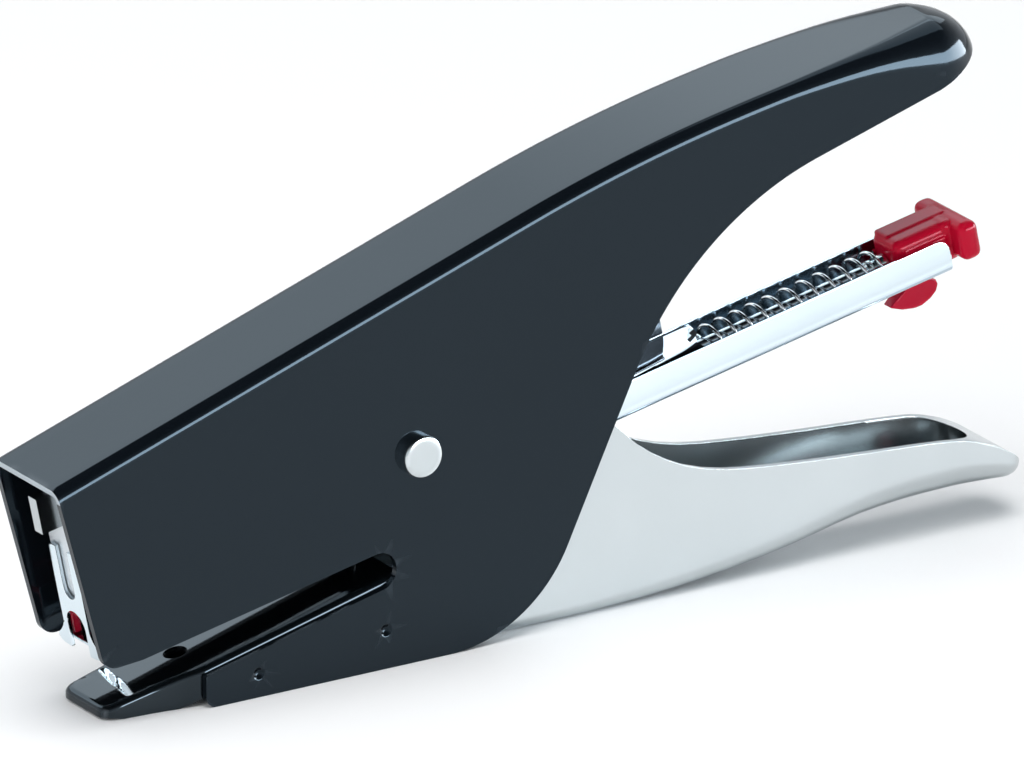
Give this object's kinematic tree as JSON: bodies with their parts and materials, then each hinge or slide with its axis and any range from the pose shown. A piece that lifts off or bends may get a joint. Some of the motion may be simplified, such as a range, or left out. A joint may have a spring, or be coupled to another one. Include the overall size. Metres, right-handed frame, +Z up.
{
  "type": "plier stapler",
  "caption": "Hand-held plier stapler: pressed steel casing with an upper grip, a hinged squeeze handle, a tilting magazine and a pull-out staple pusher.",
  "frame": {"origin": "centre of the footprint box, on the floor that the tool stands on", "axes": "+X from the stapling nose towards the handles, +Y across the tool to the far side wall, +Z up"},
  "size_m": [0.19, 0.0244, 0.0904],
  "materials": {
    "black_lacquer": "satin gloss black lacquer on steel",
    "black_steel": "gloss black finish on steel",
    "satin_nickel": "satin nickel plate on steel, bright inside",
    "bright_steel": "bright nickel or zinc plated sheet",
    "dark_steel": "dark oiled spring steel",
    "red_plastic": "glossy moulded plastic"
  },
  "bodies": {
    "frame": {"casing": "black_lacquer", "anvil_plate": "black_steel", "pivot_rivet": "satin_nickel", "pivot_washers": "dark_steel", "return_spring": "dark_steel"},
    "squeeze_handle": {"lower_handle": "satin_nickel"},
    "magazine": {"magazine_channel": "bright_steel", "front_plate": "bright_steel", "magazine_saddle": "satin_nickel", "saddle_rivets": "satin_nickel", "staple_core": "bright_steel", "spring_stop": "dark_steel", "cover_strip": "bright_steel"},
    "driver": {"driver_blade": "bright_steel"},
    "loader": {"guide_rod": "bright_steel", "rod_collar": "dark_steel", "pusher_spring": "bright_steel", "knob": "red_plastic", "knob_pin": "dark_steel"},
    "pusher": {"pusher_slide": "bright_steel", "pusher_tip": "red_plastic"}
  },
  "joints": [
    {"name": "handle_squeeze", "type": "hinge", "parent": "frame", "child": "squeeze_handle", "pos_m": [-0.0261, 0, 0.0362], "axis": [0, -1, 0], "range_deg": [0, 13.2], "stiffness_Nm_per_rad": 2.2, "springref_deg": -20.05, "deforming": ["return_spring"]},
    {"name": "magazine_tilt", "type": "hinge", "parent": "frame", "child": "magazine", "pos_m": [-0.0261, 0, 0.0362], "axis": [0, -1, 0], "range_deg": [0, 7]},
    {"name": "driver_stroke", "type": "slide", "parent": "magazine", "child": "driver", "axis": [0.2045, 0, -0.9789], "range_m": [0, 0.00655]},
    {"name": "loader_pull", "type": "slide", "parent": "magazine", "child": "loader", "axis": [0.9789, 0, 0.2045], "range_m": [0, 0.1]},
    {"name": "pusher_slide_back", "type": "slide", "parent": "loader", "child": "pusher", "axis": [0.9789, 0, 0.2045], "range_m": [0, 0.0255], "stiffness_N_per_m": 30, "springref_m": -0.02, "deforming": ["pusher_spring"]}
  ],
  "couplings": [
    {"joint": "magazine_tilt", "follows": "handle_squeeze", "ratio": 0.5299},
    {"joint": "driver_stroke", "follows": "handle_squeeze", "m_per_rad": 0.0284}
  ]
}
